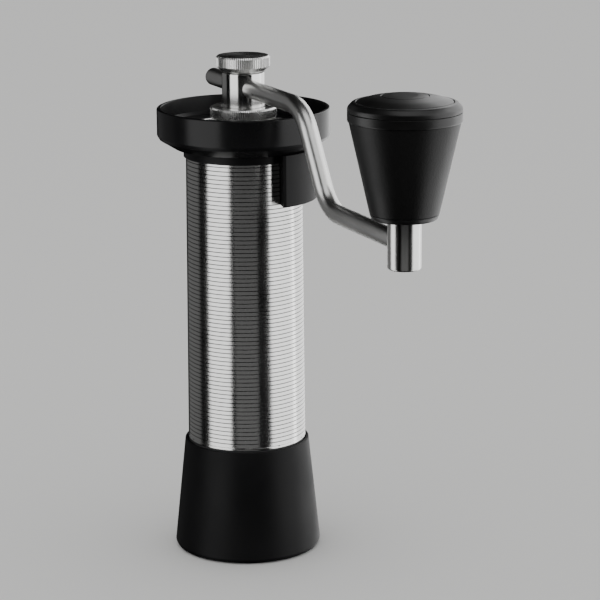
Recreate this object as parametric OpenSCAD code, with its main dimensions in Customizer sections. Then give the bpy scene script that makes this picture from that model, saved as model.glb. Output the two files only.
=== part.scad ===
// Hand crank coffee grinder: a ribbed steel barrel with a conical burr set, a hopper ring with a
// thumb rest, a bar crank clamped through the hub, and a catch cup held by magnets.
// Units are millimetres. The barrel stands on +Z with the foot of the cup at z = 0, and the
// crank at rest lies in the XZ plane and points to +X.

/* [Barrel] */
// Radius over the ribs at the top of the barrel
barrel_top_r = 26; // [25.9:0.05:26.1]
// Radius over the ribs at the bottom of the barrel
barrel_bottom_r = 26.8; // [26.4:0.1:27]
// Height of the barrel's lower edge above the table
barrel_z = 51.6; // [51.4:0.1:51.8]
// Height from one rib to the next
rib_pitch = 1.91; // [1.8:0.01:1.95]
// Number of ribs that show below the collar
rib_count = 68; // [60:1:68]
// Depth of the groove between two ribs
rib_depth = 0.4; // [0.2:0.05:0.6]

/* [Hopper] */
// Outer radius of the hopper ring
hopper_r = 38.7; // [38:0.1:40]
// Height of the hopper ring's rim above the table
hopper_top_z = 203.7; // [203:0.1:204]
// Wall of the hopper ring
hopper_wall = 1.9; // [1.5:0.1:2.4]
// Radius over the thumb rest
thumb_rest_r = 33; // [32:0.5:34]
// Height of the thumb rest's lower end above the table
thumb_rest_z = 163.2; // [160:0.2:168]
// Angle from the crank to the near side of the thumb rest
thumb_rest_start = 8.5; // [4:0.5:20]
// Angle that the thumb rest covers round the barrel
thumb_rest_sweep = 61; // [50:1:70]

/* [Crank] */
// Distance from the grinder's axis to the knob's axis
crank_reach = 158; // [150:1:165]
// Radius of the crank bar
bar_r = 4; // [3.6:0.1:4.1]
// Height of the bar where it passes through the hub
bar_high_z = 212.7; // [212.5:0.1:212.9]
// Height of the bar where it meets the knob post
bar_low_z = 173; // [172:0.5:174]
// Length of bar that stands out behind the axis
bar_tail = 35; // [30:1:38]
// Radius of the bar's two bends, on its centre line
bend_r = 20; // [16:1:22]
// Radius of the crank hub
hub_r = 9.45; // [9.2:0.05:9.6]

/* [Knob] */
// Largest radius of the knob
knob_r = 22.4; // [21:0.1:24]
// Radius of the knob at its lower end
knob_foot_r = 13.7; // [12:0.1:14]
// Height of the knob's lower face above the table
knob_z = 182.8; // [182.6:0.1:183.6]
// Height of the joint between knob and knob cap
knob_seam_z = 225; // [224.6:0.1:225.4]

/* [Grind setting] */
// Radius over the dial's knurl
dial_r = 14.9; // [14:0.1:16]
// Number of flutes round the dial
dial_flutes = 96; // [60:4:120]
// Radius over the thumb screw's knurl
screw_r = 12; // [11.6:0.1:12.4]
// Number of flutes round the thumb screw
screw_flutes = 80; // [60:4:100]

/* [Catch cup] */
// Outer radius of the cup at its rim
cup_rim_r = 28.3; // [28.2:0.1:29]
// Outer radius of the cup at its foot
cup_foot_r = 33.4; // [31:0.1:35]

/* [Hidden] */
$fn = 96;
// Running clearance on a radius, and the gap left where two fixed pieces are pressed together
run = 0.02;
press = 0.01;
knurl_depth = 0.45;
// Barrel
barrel_top_z = 195.5;
rib_z = barrel_z + 1.2;
rib_end_z = rib_z + rib_count * rib_pitch;
neck_r = 25.6;
bore_r = 23.2;
seat_r = 24;
burr_shoulder_z = 90;
bridge_shoulder_z = 187;
// Ball bearings, 8 x 22 x 7
axle_r = 4;
bearing_r = 11;
bearing_h = 7;
ball_r = 1.95;
ball_count = 7;
ball_ring_r = 7.6;
race_gap = 1.8;
groove_r = 2;
upper_bearing_z = 189.5;
lower_bearing_z = 104;
// Bridges
bridge_ring_h = 6;
bridge_ring_wall = 2.2;
bridge_boss_r = 13.3;
bridge_arm_w = 4.6;
bridge_arms = 3;
// Collar and hopper
collar_r = 27;
collar_z = 182;
collar_seam_z = 186.2;
hopper_seam_z = 190.1;
collar_top_z = 190;
o_ring_r = 0.6;
// Dial
dial_z = 199.1;
dial_top_z = 204.1;
dial_recess_r = 9.8;
dial_recess_z = 200.9;
washer_h = 0.6;
// Hub
hub_z = 202.8;
hub_top_z = 219.4;
hex_af = 6.8;
hex_top_z = 208.2;
grub_z = 206.6;
// Thumb screw
screw_z = 219.75;
screw_rim_z = 221.85;
screw_top_z = 226.8;
stud_r = 3;
// Crank bar: the angle and the place of the slanting stretch
slant = 56.5;
slant_dx = (bar_high_z - bar_low_z) / tan(slant);
bend_x = 63.3;
bend_cut = bend_r * tan(slant / 2);
// Knob
post_r = 6.7;
post_z = 162.7;
pin_r = 3;
bush_r = 5;
cap_z = 231.4;
knob_band_z = 221.3;
grip_wall = 1.4;
// Burrs
cone_z = 69;
cone_top_z = 88;
cone_r = 18.6;
ring_burr_z = 70;
// Cup and magnets
magnet_r = 2;
magnet_h = 2;
magnet_ring_r = 24.2;
magnet_count = 4;
ledge_z = 43;
throat_r = 21.8;
cup_top_z = 51;
foot_h = 1.2;

// ---- Shapes that repeat ----

// A flat ring on the axis
module ring(outer, inner, z, h) {
    translate([0, 0, z])
        difference() {
            cylinder(r = outer, h = h);
            translate([0, 0, -1]) cylinder(r = inner, h = h + 2);
        }
}

// The outline of a straight knurl: flutes cut into a circle
module knurl_outline(r, flutes) {
    step = 360 / flutes;
    polygon([for (i = [0 : flutes - 1]) each [
        [r * cos(i * step), r * sin(i * step)],
        [r * cos((i + 0.4) * step), r * sin((i + 0.4) * step)],
        [(r - knurl_depth) * cos((i + 0.7) * step), (r - knurl_depth) * sin((i + 0.7) * step)]
    ]]);
}

// A knurled disc whose profile is turned: points are [radius, height]
module knurled(r, flutes, z, h, profile) {
    intersection() {
        translate([0, 0, z]) linear_extrude(h) knurl_outline(r, flutes);
        rotate_extrude() polygon(profile);
    }
}

// Discs spaced round the axis
module round_row(count, r, start = 0) {
    for (i = [0 : count - 1]) rotate(start + i * 360 / count) translate([r, 0, 0]) children();
}

module groove(z) {
    translate([0, 0, z + bearing_h / 2]) rotate_extrude() translate([ball_ring_r, 0]) circle(groove_r, $fn = 32);
}

module outer_race(z) {
    difference() {
        ring(bearing_r - press, ball_ring_r + race_gap, z, bearing_h);
        groove(z);
    }
}

module inner_race(z) {
    difference() {
        ring(ball_ring_r - race_gap, axle_r, z, bearing_h);
        groove(z);
    }
}

module bearing_balls(z) {
    translate([0, 0, z + bearing_h / 2]) round_row(ball_count, ball_ring_r) sphere(ball_r, $fn = 32);
}

module ball_cage(z) {
    difference() {
        ring(ball_ring_r + 0.7, ball_ring_r - 0.7, z + bearing_h / 2 - 1.6, 3.2);
        translate([0, 0, z + bearing_h / 2]) round_row(ball_count, ball_ring_r) sphere(ball_r + 0.05, $fn = 32);
    }
}

module bearing_seals(z) {
    for (dz = [0.3, bearing_h - 0.7]) ring(ball_ring_r + race_gap - press, ball_ring_r - race_gap + 0.05, z + dz, 0.4);
}

// A ring in the barrel, three arms and a boss that holds a ball bearing against a lip.
// lip_up puts the lip above the bearing
module bridge(r, ring_z, bearing_z, lip_up) {
    boss_z = lip_up ? bearing_z - 0.5 : bearing_z - 2;
    boss_h = bearing_h + 2.5;
    difference() {
        union() {
            ring(r - press, r - bridge_ring_wall, ring_z, bridge_ring_h);
            translate([0, 0, boss_z]) cylinder(r = bridge_boss_r, h = boss_h);
            for (i = [0 : bridge_arms - 1]) rotate(60 + i * 360 / bridge_arms)
                translate([bridge_boss_r - 2, -bridge_arm_w / 2, ring_z])
                    cube([r - bridge_ring_wall / 2 - bridge_boss_r + 2, bridge_arm_w, bridge_ring_h]);
        }
        translate([0, 0, bearing_z - (lip_up ? 2 : 0)]) cylinder(r = bearing_r, h = bearing_h + 2);
        translate([0, 0, boss_z - 1]) cylinder(r = bearing_r - 1.2, h = boss_h + 2);
    }
}

// ---- Barrel, collar and hopper ----

function barrel_r(z) = barrel_bottom_r
    + (barrel_top_r - barrel_bottom_r) * (z - barrel_z) / (rib_end_z - barrel_z);

// One rib, from the groove below it: a flat crest with rounded shoulders
rib_shape = [[0, 1], [0.12, 0.2], [0.28, 0], [0.72, 0], [0.88, 0.2]];

module body_tube() {
    color("silver")
    rotate_extrude() polygon(concat(
        [[seat_r, barrel_z], [barrel_r(barrel_z) - 0.3, barrel_z], [barrel_r(barrel_z), barrel_z + 0.3]],
        [for (i = [0 : rib_count - 1], p = rib_shape)
            let (z = rib_z + (i + p[0]) * rib_pitch) [barrel_r(z) - p[1] * rib_depth, z]],
        [
            [neck_r, rib_end_z], [neck_r, barrel_top_z - 0.4], [neck_r - 0.4, barrel_top_z],
            [seat_r + 0.3, barrel_top_z], [seat_r, barrel_top_z - 0.3], [seat_r, bridge_shoulder_z],
            [bore_r, bridge_shoulder_z], [bore_r, burr_shoulder_z], [seat_r, burr_shoulder_z]
        ]
    ));
}

module hopper_rim() {
    inner = hopper_r - hopper_wall;
    color("black")
    rotate_extrude() polygon([
        [inner, hopper_seam_z], [hopper_r - 1, hopper_seam_z], [hopper_r, hopper_seam_z + 1.7],
        [hopper_r, hopper_top_z - 0.7], [hopper_r - 0.2, hopper_top_z - 0.2], [hopper_r - 0.7, hopper_top_z],
        [inner + 0.3, hopper_top_z], [inner, hopper_top_z - 0.4]
    ]);
}

module hopper_funnel() {
    edge = hopper_r - hopper_wall - press;
    color("black")
    rotate_extrude() polygon([
        [collar_r + press, collar_seam_z], [31.2, collar_seam_z], [hopper_r - 1.2, hopper_seam_z - 0.06],
        [edge, hopper_seam_z - press], [edge, 196.9], [edge - 1.5, 195.4],
        [neck_r + 2, 194.4], [neck_r + press, 194.2],
        [neck_r + press, collar_top_z], [collar_r + press, collar_top_z]
    ]);
}

// The thumb rest is a block bent round the collar. It widens outwards, and its two outer
// upright corners are cut off
rest_corner = 1.3;

module thumb_rest() {
    low = thumb_rest_z;
    inner = barrel_top_r + 0.3;
    half = thumb_rest_sweep / 2;
    rotate(thumb_rest_start + half) difference() {
        intersection() {
            rotate_extrude() polygon([
                [inner, low], [thumb_rest_r - 0.4, low], [thumb_rest_r, low + 0.4],
                [thumb_rest_r, collar_seam_z], [inner, collar_seam_z]
            ]);
            translate([0, 0, low - 1]) linear_extrude(collar_seam_z - low + 2) polygon([
                [20, -6.4], [36, -26.05], [36, 26.05], [20, 6.4]
            ]);
        }
        for (angle = [-half, half])
            rotate(angle) translate([thumb_rest_r, 0, low + 10]) rotate(45)
                cube([rest_corner * sqrt(2), rest_corner * sqrt(2), 40], center = true);
    }
}

module thumb_collar() {
    color("black")
    difference() {
        union() {
            translate([0, 0, collar_z]) cylinder(r = collar_r, h = collar_top_z - collar_z);
            thumb_rest();
        }
        translate([0, 0, thumb_rest_z - 1]) cylinder(r = barrel_top_r + 0.25, h = 184.7 - thumb_rest_z + 1);
        cylinder(r = neck_r + 0.1, h = 250);
        translate([0, 0, 187.5]) rotate_extrude() translate([neck_r + 0.05 + o_ring_r, 0]) circle(o_ring_r + 0.05, $fn = 32);
    }
}

module collar_o_ring() {
    color("dimgray")
    translate([0, 0, 187.5]) rotate_extrude() translate([neck_r + 0.05 + o_ring_r, 0]) circle(o_ring_r, $fn = 32);
}

// ---- Bridges and bearings ----

module upper_bridge() { color("lightgray") bridge(seat_r, bridge_shoulder_z, upper_bearing_z, false); }
module upper_outer_race() { color("gainsboro") outer_race(upper_bearing_z); }
module upper_inner_race() { color("gainsboro") inner_race(upper_bearing_z); }
module upper_bearing_balls() { color("white") bearing_balls(upper_bearing_z); }
module upper_ball_cage() { color("goldenrod") ball_cage(upper_bearing_z); }
module upper_bearing_seals() { color("black") bearing_seals(upper_bearing_z); }
module lower_bridge() { color("lightgray") bridge(bore_r, lower_bearing_z + 2, lower_bearing_z, true); }
module lower_outer_race() { color("gainsboro") outer_race(lower_bearing_z); }
module lower_inner_race() { color("gainsboro") inner_race(lower_bearing_z); }
module lower_bearing_balls() { color("white") bearing_balls(lower_bearing_z); }
module lower_ball_cage() { color("goldenrod") ball_cage(lower_bearing_z); }
module lower_bearing_seals() { color("black") bearing_seals(lower_bearing_z); }

// ---- Burrs ----

// A V cut that runs down a cone's side: tilt is the cone's slope, twist leans the cut like a helix
module tooth_cut(r, z, length, depth, tilt, twist) {
    translate([r, 0, z]) rotate([twist, tilt, 0]) rotate(45)
        cube([depth, depth, length], center = true);
}

module cone_burr() {
    coarse = 7;
    fine = 28;
    color("darkgray")
    difference() {
        rotate_extrude() polygon([
            [axle_r + run, cone_z], [cone_r - 0.3, cone_z], [cone_r, cone_z + 0.3], [cone_r, cone_z + 1.5],
            [12.5, 78], [8, cone_top_z], [axle_r + run, cone_top_z]
        ]);
        for (i = [0 : coarse - 1]) rotate(i * 360 / coarse) tooth_cut(12.2, 82, 24, 4.2, -28, 24);
        for (i = [0 : fine - 1]) rotate(i * 360 / fine) tooth_cut(18.2, 72, 14, 0.9, -39, 16);
    }
}

module ring_burr() {
    coarse = 8;
    fine = 32;
    color("darkgray")
    difference() {
        rotate_extrude() polygon([
            [19.45, ring_burr_z], [seat_r - run, ring_burr_z], [seat_r - run, burr_shoulder_z],
            [19.5, burr_shoulder_z], [15.5, 79]
        ]);
        for (i = [0 : coarse - 1]) rotate(i * 360 / coarse) tooth_cut(17.6, 86, 16, 3, 16, -22);
        for (i = [0 : fine - 1]) rotate(i * 360 / fine) tooth_cut(18.6, 72, 16, 0.9, -23.7, -14);
    }
}

module burr_lock_ring() {
    color("silver")
    difference() {
        ring(seat_r - run, 20.6, 66, ring_burr_z - 66);
        for (a = [0, 90]) rotate(a) translate([-30, -1.5, 65]) cube([60, 3, 2.5]);
    }
}

// ---- Axle, spring and the nut that holds the burr ----

module axle() {
    color("silver") {
        translate([0, 0, 62.5]) cylinder(r1 = 2.4, r2 = pin_r, h = 0.6);
        translate([0, 0, 63.1]) cylinder(r = pin_r, h = cone_z - 63.1);
        translate([0, 0, cone_z]) cylinder(r = axle_r - run, h = hub_z + 0.2 - cone_z);
        translate([0, 0, hub_z + 0.2]) cylinder(r = (hex_af - 0.1) / 2 / cos(30), h = hex_top_z - 0.2 - hub_z - 0.2, $fn = 6);
    }
}

// Rings of points along a helix, joined into one closed tube
spring_turns = 6;
spring_steps = 22;
spring_sides = 8;
spring_wire = 0.7;
spring_r = 5.6;
spring_z = cone_top_z + spring_wire + 0.1;
spring_top = lower_bearing_z - 1 - spring_wire - 0.1;

module burr_spring() {
    rings = spring_turns * spring_steps;
    points = [for (i = [0 : rings], k = [0 : spring_sides - 1])
        let (a = i * 360 / spring_steps, b = k * 360 / spring_sides, r = spring_r + spring_wire * cos(b))
        [r * cos(a), r * sin(a), spring_z + (spring_top - spring_z) * i / rings + spring_wire * sin(b)]];
    sides = [for (i = [0 : rings - 1], k = [0 : spring_sides - 1])
        let (a = i * spring_sides, next = (k + 1) % spring_sides)
        [a + k, a + next, a + spring_sides + next, a + spring_sides + k]];
    ends = [
        [for (k = [spring_sides - 1 : -1 : 0]) k],
        [for (k = [0 : spring_sides - 1]) rings * spring_sides + k]
    ];
    color("silver") polyhedron(points, concat(sides, ends));
}

module burr_washer() { color("silver") ring(7, pin_r + 0.1, cone_z - 1, 1 - press); }

module burr_nut() {
    color("silver")
    difference() {
        translate([0, 0, cone_z - 5.6]) cylinder(r = 5 / cos(30), h = 4.6, $fn = 6);
        cylinder(r = pin_r + run, h = 100);
    }
}

module spring_seat_washer() { color("silver") ring(7, axle_r, lower_bearing_z - 1, 1 - press); }
module dial_washer() { color("goldenrod") ring(6.6, axle_r, upper_bearing_z + bearing_h + press, washer_h - press); }

// ---- Dial, hub and thumb screw ----

module grind_dial() {
    boss_z = upper_bearing_z + bearing_h + washer_h + press;
    color("silver")
    difference() {
        union() {
            knurled(dial_r, dial_flutes, dial_z, dial_top_z - dial_z, [
                [0, dial_z], [dial_r - 0.7, dial_z], [dial_r + 0.1, dial_z + 0.8],
                [dial_r + 0.1, dial_top_z - 0.8], [dial_r - 0.7, dial_top_z], [0, dial_top_z]
            ]);
            translate([0, 0, boss_z]) cylinder(r = 6.6, h = dial_z - boss_z + 1);
        }
        translate([0, 0, 190]) cylinder(r = axle_r, h = 20);
        translate([0, 0, dial_recess_z]) cylinder(r = dial_recess_r, h = 10);
    }
}

module crank_hub() {
    color("silver")
    difference() {
        rotate_extrude() polygon([
            [0, hub_z], [hub_r, hub_z], [hub_r, hub_top_z - 0.35], [hub_r - 0.35, hub_top_z], [0, hub_top_z]
        ]);
        translate([0, 0, hub_z - 1]) cylinder(r = hex_af / 2 / cos(30), h = hex_top_z - hub_z + 1, $fn = 6);
        translate([-20, 0, bar_high_z]) rotate([0, 90, 0]) cylinder(r = bar_r + run, h = 40);
        translate([0, 0, bar_high_z]) cylinder(r = stud_r, h = 20);
        translate([0, 3, grub_z]) rotate([-90, 0, 0]) cylinder(r = 1.5, h = 10);
    }
}

module hub_grub_screw() {
    color("dimgray")
    difference() {
        translate([0, 3.6, grub_z]) rotate([-90, 0, 0]) cylinder(r = 1.5 - press, h = 5.5);
        translate([0, 7.6, grub_z]) rotate([-90, 0, 0]) cylinder(r = 0.75 / cos(30), h = 4, $fn = 6);
    }
}

module thumb_screw_washer() { color("dimgray") ring(7, stud_r + 0.15, hub_top_z + press, screw_z - hub_top_z - 2 * press); }

module thumb_screw() {
    tip_z = bar_high_z + bar_r + 0.1;
    color("silver") {
        knurled(screw_r, screw_flutes, screw_z, screw_top_z - screw_z, [
            [0, screw_z], [9.3, screw_z], [screw_r - 0.35, screw_rim_z], [screw_r + 0.1, screw_rim_z + 0.4],
            [screw_r + 0.1, screw_top_z - 0.9], [screw_r - 0.8, screw_top_z], [0, screw_top_z]
        ]);
        translate([0, 0, tip_z]) cylinder(r = stud_r - run, h = screw_z + 0.5 - tip_z);
    }
}

// ---- Crank bar, knob post and knob ----

// A bend in the XZ plane: it turns from level towards the slant about a centre at [x, z]
module bend(x, z, start) {
    translate([x, 0, z]) rotate([90, 0, 0]) rotate(start)
        rotate_extrude(angle = slant) translate([bend_r, 0]) circle(bar_r, $fn = 48);
}

// A straight stretch that starts at [x, z] and dips by an angle. It runs 0.3 into the bends
// beside it and is a hair thinner than they are
module straight_bar(x, z, dip, length) {
    translate([x, 0, z]) rotate([0, 90 + dip, 0])
        translate([0, 0, -0.3]) cylinder(r = bar_r - 0.01, h = length + 0.6);
}

module crank_bar() {
    slant_length = slant_dx / cos(slant) - 2 * bend_cut;
    low_x = bend_x + slant_dx + bend_cut;
    color("silver") {
        translate([-bar_tail, 0, bar_high_z]) rotate([0, 90, 0]) cylinder(r1 = bar_r - 0.41, r2 = bar_r - 0.01, h = 0.4);
        straight_bar(0.7 - bar_tail, bar_high_z, 0, bend_x - bend_cut + bar_tail - 0.7);
        bend(bend_x - bend_cut, bar_high_z - bend_r, 90 - slant);
        straight_bar(bend_x + bend_cut * cos(slant), bar_high_z - bend_cut * sin(slant), slant, slant_length);
        bend(low_x, bar_low_z + bend_r, 270 - slant);
        straight_bar(low_x, bar_low_z, 0, crank_reach + 1.7 - low_x);
    }
}

module knob_post() {
    color("silver")
    translate([crank_reach, 0, 0]) difference() {
        rotate_extrude() polygon([
            [0, post_z], [post_r - 1, post_z], [post_r - 0.3, post_z + 0.3], [post_r, post_z + 1],
            [post_r, knob_z - 0.65], [post_r - 0.35, knob_z - 0.3], [pin_r, knob_z - 0.3],
            [pin_r, 222], [0, 222]
        ]);
        translate([-20, 0, bar_low_z]) rotate([0, 90, 0]) cylinder(r = bar_r + press, h = 22 + press);
        translate([0, 0, 212]) cylinder(r = 1.5, h = 20);
    }
}

module knob_washer() { color("silver") translate([crank_reach, 0, 0]) ring(6, 1.6, 222.01, 0.7); }

module knob_screw() {
    color("silver")
    translate([crank_reach, 0, 0]) difference() {
        union() {
            translate([0, 0, 222.72]) cylinder(r1 = 3.2, r2 = 2.4, h = 1.8);
            translate([0, 0, 213]) cylinder(r = 1.5 - press, h = 9.8);
        }
        translate([0, 0, 223.4]) cylinder(r = 1.3, h = 3, $fn = 6);
    }
}

function cone_knob_r(z) = knob_foot_r + (knob_r - 0.5 - knob_foot_r) * (z - knob_z - 2.2) / (knob_band_z - knob_z - 2.2);

module knob_core() {
    foot = knob_z + 2.2;
    color("black")
    translate([crank_reach, 0, 0]) difference() {
        rotate_extrude() polygon([
            [0, knob_z], [knob_foot_r - 3, knob_z], [knob_foot_r - 0.8, knob_z + 0.8], [knob_foot_r, foot],
            [cone_knob_r(foot) - grip_wall, foot], [cone_knob_r(knob_band_z) - grip_wall, knob_band_z],
            [knob_r - 0.15, knob_band_z], [knob_r, knob_band_z + 0.5], [knob_r, knob_seam_z - 0.25],
            [knob_r - 0.35, knob_seam_z], [14, knob_seam_z], [14, 222], [0, 222]
        ]);
        translate([0, 0, knob_z - 1]) cylinder(r = pin_r + 0.5, h = 60);
        translate([0, 0, knob_z - 1]) cylinder(r = bush_r, h = 9);
        translate([0, 0, 214]) cylinder(r = bush_r, h = 12);
        translate([0, 0, 221]) cylinder(r = 8, h = 10);
    }
}

module knob_grip() {
    foot = knob_z + 2.25;
    color("black")
    translate([crank_reach, 0, 0]) rotate_extrude() polygon([
        [cone_knob_r(foot) - grip_wall + 0.02, foot], [cone_knob_r(foot), foot],
        [cone_knob_r(knob_band_z), knob_band_z - 0.05],
        [cone_knob_r(knob_band_z) - grip_wall + 0.02, knob_band_z - 0.05]
    ]);
}

module knob_cap() {
    color("black")
    translate([crank_reach, 0, 0]) rotate_extrude() polygon([
        [0, 225.1], [12, 225.1], [12, 222.3], [13.9, 222.3], [13.9, knob_seam_z + 0.05],
        [knob_r - 0.35, knob_seam_z + 0.05], [knob_r, knob_seam_z + 0.3], [knob_r, knob_seam_z + 1.2],
        [knob_r - 0.6, knob_seam_z + 2.4], [knob_r - 1.6, knob_seam_z + 3.3], [19.2, knob_seam_z + 3.8],
        [18.9, knob_seam_z + 3.5], [18.6, knob_seam_z + 3.9], [14.5, cap_z - 1.2], [9.5, cap_z - 0.3],
        [9.25, cap_z - 0.55], [9, cap_z - 0.25], [5, cap_z - 0.05], [0, cap_z]
    ]);
}

module knob_lower_bush() { color("goldenrod") translate([crank_reach, 0, 0]) ring(bush_r - press, pin_r + run, knob_z, 8 - press); }
module knob_upper_bush() { color("goldenrod") translate([crank_reach, 0, 0]) ring(bush_r - press, pin_r + run, 214 + press, 7.8); }

// ---- Magnet ring and catch cup ----

module magnet_ring() {
    color("black")
    difference() {
        union() {
            ring(cup_rim_r - 1.7, throat_r, ledge_z + 0.1, 51.4 - ledge_z - 0.1);
            ring(seat_r - run, throat_r, 51.3, 9.7);
        }
        translate([0, 0, ledge_z]) round_row(magnet_count, magnet_ring_r, 45) cylinder(r = magnet_r, h = magnet_h + 0.1, $fn = 48);
    }
}

module ring_magnets() {
    color("gainsboro")
    translate([0, 0, ledge_z + 0.1]) round_row(magnet_count, magnet_ring_r, 45) cylinder(r = magnet_r - press, h = magnet_h - press, $fn = 48);
}

module catch_cup() {
    color("black")
    difference() {
        rotate_extrude() polygon([
            [0, 0.5], [cup_foot_r - 1.4, 0.5], [cup_foot_r - 0.6, 0.8], [cup_foot_r - 0.1, 1.6], [cup_foot_r, 2.4],
            [cup_rim_r, cup_top_z - 0.4], [cup_rim_r - 0.4, cup_top_z],
            [cup_rim_r - 1.2, cup_top_z], [cup_rim_r - 1.4, cup_top_z - 0.3], [cup_rim_r - 1.4, ledge_z],
            [throat_r, ledge_z], [throat_r, ledge_z - 5], [cup_rim_r - 1, 33], [cup_foot_r - 2.6, 6],
            [cup_foot_r - 4.6, 3.5], [0, 3.5]
        ]);
        translate([0, 0, ledge_z - magnet_h]) round_row(magnet_count, magnet_ring_r, 45) cylinder(r = magnet_r, h = magnet_h + 1, $fn = 48);
        translate([0, 0, -1]) cylinder(r = 27, h = 2.2);
    }
}

module cup_magnets() {
    color("gainsboro")
    translate([0, 0, ledge_z - magnet_h + press]) round_row(magnet_count, magnet_ring_r, 45) cylinder(r = magnet_r - press, h = magnet_h - 2 * press, $fn = 48);
}

module cup_foot() {
    color("dimgray") {
        translate([0, 0, 0.3]) cylinder(r = 27 - press, h = foot_h - 0.3 - press);
        cylinder(r1 = 26.7, r2 = 27 - press, h = 0.3);
    }
}

// ---- Output ----

body_tube();
hopper_rim();
hopper_funnel();
thumb_collar();
collar_o_ring();
upper_bridge();
upper_outer_race();
upper_bearing_balls();
upper_ball_cage();
upper_bearing_seals();
lower_bridge();
lower_outer_race();
lower_bearing_balls();
lower_ball_cage();
lower_bearing_seals();
ring_burr();
burr_lock_ring();
magnet_ring();
ring_magnets();
upper_inner_race();
lower_inner_race();
dial_washer();
spring_seat_washer();
grind_dial();
axle();
burr_spring();
cone_burr();
burr_washer();
burr_nut();
crank_hub();
hub_grub_screw();
thumb_screw_washer();
thumb_screw();
crank_bar();
knob_post();
knob_washer();
knob_screw();
knob_core();
knob_grip();
knob_cap();
knob_lower_bush();
knob_upper_bush();
catch_cup();
cup_magnets();
cup_foot();
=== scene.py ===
"""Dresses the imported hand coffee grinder: steel, black paint, grained plastic, and a plain studio."""

from math import cos, pi, radians, sin, tan

import bmesh
import bpy
from bpy.props import FloatProperty, FloatVectorProperty, IntProperty, PointerProperty
from mathutils import Matrix, Vector


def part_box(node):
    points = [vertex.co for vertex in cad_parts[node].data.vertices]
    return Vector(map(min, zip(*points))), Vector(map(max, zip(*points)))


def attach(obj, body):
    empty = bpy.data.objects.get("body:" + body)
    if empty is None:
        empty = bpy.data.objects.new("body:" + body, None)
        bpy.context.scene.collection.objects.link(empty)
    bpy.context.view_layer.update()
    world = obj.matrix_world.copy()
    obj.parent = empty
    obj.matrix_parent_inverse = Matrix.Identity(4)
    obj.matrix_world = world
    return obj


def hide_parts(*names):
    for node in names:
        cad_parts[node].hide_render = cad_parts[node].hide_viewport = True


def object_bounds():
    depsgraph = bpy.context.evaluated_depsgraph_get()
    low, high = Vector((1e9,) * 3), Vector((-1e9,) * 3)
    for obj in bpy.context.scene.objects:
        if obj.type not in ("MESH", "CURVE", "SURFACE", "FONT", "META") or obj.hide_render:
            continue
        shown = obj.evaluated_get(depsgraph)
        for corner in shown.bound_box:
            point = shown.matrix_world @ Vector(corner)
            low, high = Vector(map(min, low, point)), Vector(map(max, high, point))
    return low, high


bl_info = {
    "name": "Hand Coffee Grinder",
    "version": (1, 0, 0),
    "blender": (4, 5, 0),
    "location": "3D View > Sidebar > Grinder",
    "description": "Builds the looks of a hand coffee grinder round its packed model",
    "category": "Object",
}

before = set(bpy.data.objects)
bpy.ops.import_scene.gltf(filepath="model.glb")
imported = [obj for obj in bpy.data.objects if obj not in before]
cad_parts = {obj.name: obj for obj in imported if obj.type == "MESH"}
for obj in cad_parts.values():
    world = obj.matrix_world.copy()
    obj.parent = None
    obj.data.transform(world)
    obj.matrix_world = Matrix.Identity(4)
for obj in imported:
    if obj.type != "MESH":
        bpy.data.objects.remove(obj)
cad_low, cad_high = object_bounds()

MM = 0.001
ROUND = 160


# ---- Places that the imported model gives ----

def low_z(node):
    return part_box(node)[0].z


def high_z(node):
    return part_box(node)[1].z


def radius_of(node):
    """Half the width of a node that is turned about its own upright axis."""
    low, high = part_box(node)
    return (high.y - low.y) / 2


BAR_LOW, BAR_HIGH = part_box("crank_bar")
POST_LOW, POST_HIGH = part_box("knob_post")
CRANK_REACH = (POST_LOW.x + POST_HIGH.x) / 2
BAR_RADIUS = (BAR_HIGH.y - BAR_LOW.y) / 2


# ---- Settings ----

def length(name, text, value):
    return FloatProperty(name=name, description=text, default=value, min=0, unit="LENGTH", precision=5)


def colour(name, text, value):
    return FloatVectorProperty(
        name=name, description=text, default=value, size=3, min=0, max=1, subtype="COLOR"
    )


class GrinderBarrel(bpy.types.PropertyGroup):
    top_radius: length("Top radius", "Radius over the ribs under the collar", 26.0 * MM)
    bottom_radius: length("Bottom radius", "Radius over the ribs at the cup", 26.8 * MM)
    rib_pitch: length("Rib pitch", "Height from one rib to the next", 1.91 * MM)
    rib_depth: length("Rib depth", "Depth of the groove between two ribs", 0.3 * MM)
    rib_count: IntProperty(name="Ribs", description="Number of ribs", default=68, min=1)


class GrinderCrank(bpy.types.PropertyGroup):
    bend_radius: length("Bend radius", "Radius of the bar's bends on its centre line", 20 * MM)
    bend_x: length("First bend", "Distance from the axis to the corner of the first bend", 63.3 * MM)
    slant: FloatProperty(
        name="Slant", description="How steeply the bar's middle stretch falls",
        default=radians(56.5), min=0, subtype="ANGLE",
    )
    tip_round: length("Tip round", "Rounding of the bar's free end", 0.9 * MM)


class GrinderKnurls(bpy.types.PropertyGroup):
    dial_flutes: IntProperty(name="Dial flutes", description="Flutes round the grind dial", default=96, min=8)
    screw_flutes: IntProperty(
        name="Screw flutes", description="Flutes round the thumb screw", default=80, min=8)
    depth: length("Knurl depth", "Depth of one flute", 0.45 * MM)


class GrinderFinish(bpy.types.PropertyGroup):
    steel: colour("Steel", "Colour of the bare steel", (0.62, 0.62, 0.61))
    black: colour("Black paint", "Colour of the hopper ring, collar and cup", (0.0035, 0.0035, 0.0038))
    knob: colour("Knob", "Colour of the knob's grained plastic", (0.0035, 0.0035, 0.0035))
    brass: colour("Brass", "Colour of the bushes and cages", (0.72, 0.52, 0.24))


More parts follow.
